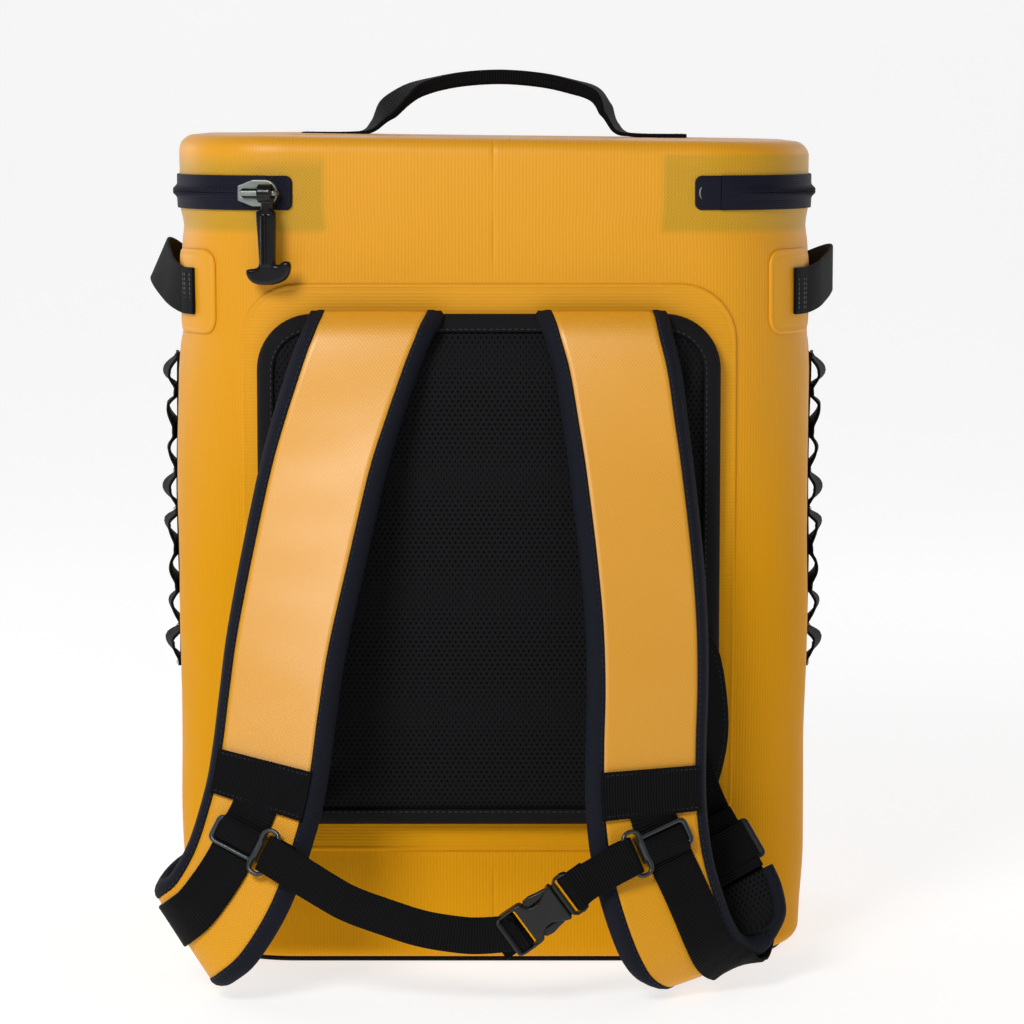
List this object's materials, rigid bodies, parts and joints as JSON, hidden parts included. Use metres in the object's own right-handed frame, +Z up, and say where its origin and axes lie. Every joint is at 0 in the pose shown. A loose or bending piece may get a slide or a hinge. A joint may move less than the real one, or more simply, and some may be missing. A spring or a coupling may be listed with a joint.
{
  "type": "cooler backpack",
  "caption": "Rounded box-shaped insulated cooler backpack with a zipped lid, padded back panel, padded shoulder straps, chest strap and carry handles.",
  "frame": {"origin": "centre of the flat underside of the base panel", "axes": "+Z up; the harness face, with the back panel and shoulder straps, looks along -Y; +X is to the right of someone who looks at the harness"},
  "size_m": [0.4, 0.3356, 0.4992],
  "materials": {
    "coat": "coated yellow cloth with a fine rib, slightly glossy",
    "face_cloth": "coated yellow cloth, matte sheen",
    "mesh_pad": "black spacer mesh over padding",
    "black_cloth": "black twill and tape, matte",
    "webbing": "ribbed black webbing",
    "plastic": "moulded black plastic, satin",
    "slider_metal": "grey satin metal"
  },
  "bodies": {
    "bag": {"body": "coat", "lid": "coat", "base_panel": "black_cloth", "zip_tape": "black_cloth", "zip_dock": "plastic", "zip_stop": "plastic", "zip_slider": "slider_metal", "back_patch": "coat", "back_panel": "mesh_pad", "strap_pad_left": "mesh_pad", "strap_face_left": "face_cloth", "strap_band_left": "webbing", "strap_rail_left": "webbing", "ladder_lock_left": "plastic", "lower_webbing_left": "webbing", "anchor_tab_left": "black_cloth", "chest_slider_left": "plastic", "strap_pad_right": "mesh_pad", "strap_face_right": "face_cloth", "strap_band_right": "webbing", "strap_rail_right": "webbing", "ladder_lock_right": "plastic", "lower_webbing_right": "webbing", "anchor_tab_right": "black_cloth", "chest_slider_right": "plastic", "buckle_female": "plastic", "buckle_male": "plastic", "chest_strap_left": "webbing", "chest_strap_right": "webbing", "top_handle": "webbing", "side_patch_left_front": "coat", "side_patch_left_rear": "coat", "side_handle_left": "webbing", "daisy_patch_left": "coat", "daisy_chain_left": "webbing", "side_patch_right_front": "coat", "side_patch_right_rear": "coat", "side_handle_right": "webbing", "daisy_patch_right": "coat", "daisy_chain_right": "webbing"},
    "pull": {"zip_pull": "plastic"}
  },
  "joints": [
    {"name": "zip_pull_swing", "type": "hinge", "parent": "bag", "child": "pull", "pos_m": [-0.12665, -0.12267, 0.4305], "axis": [-0.9719, 0.2353, 0], "range_deg": [0, 165]}
  ]
}
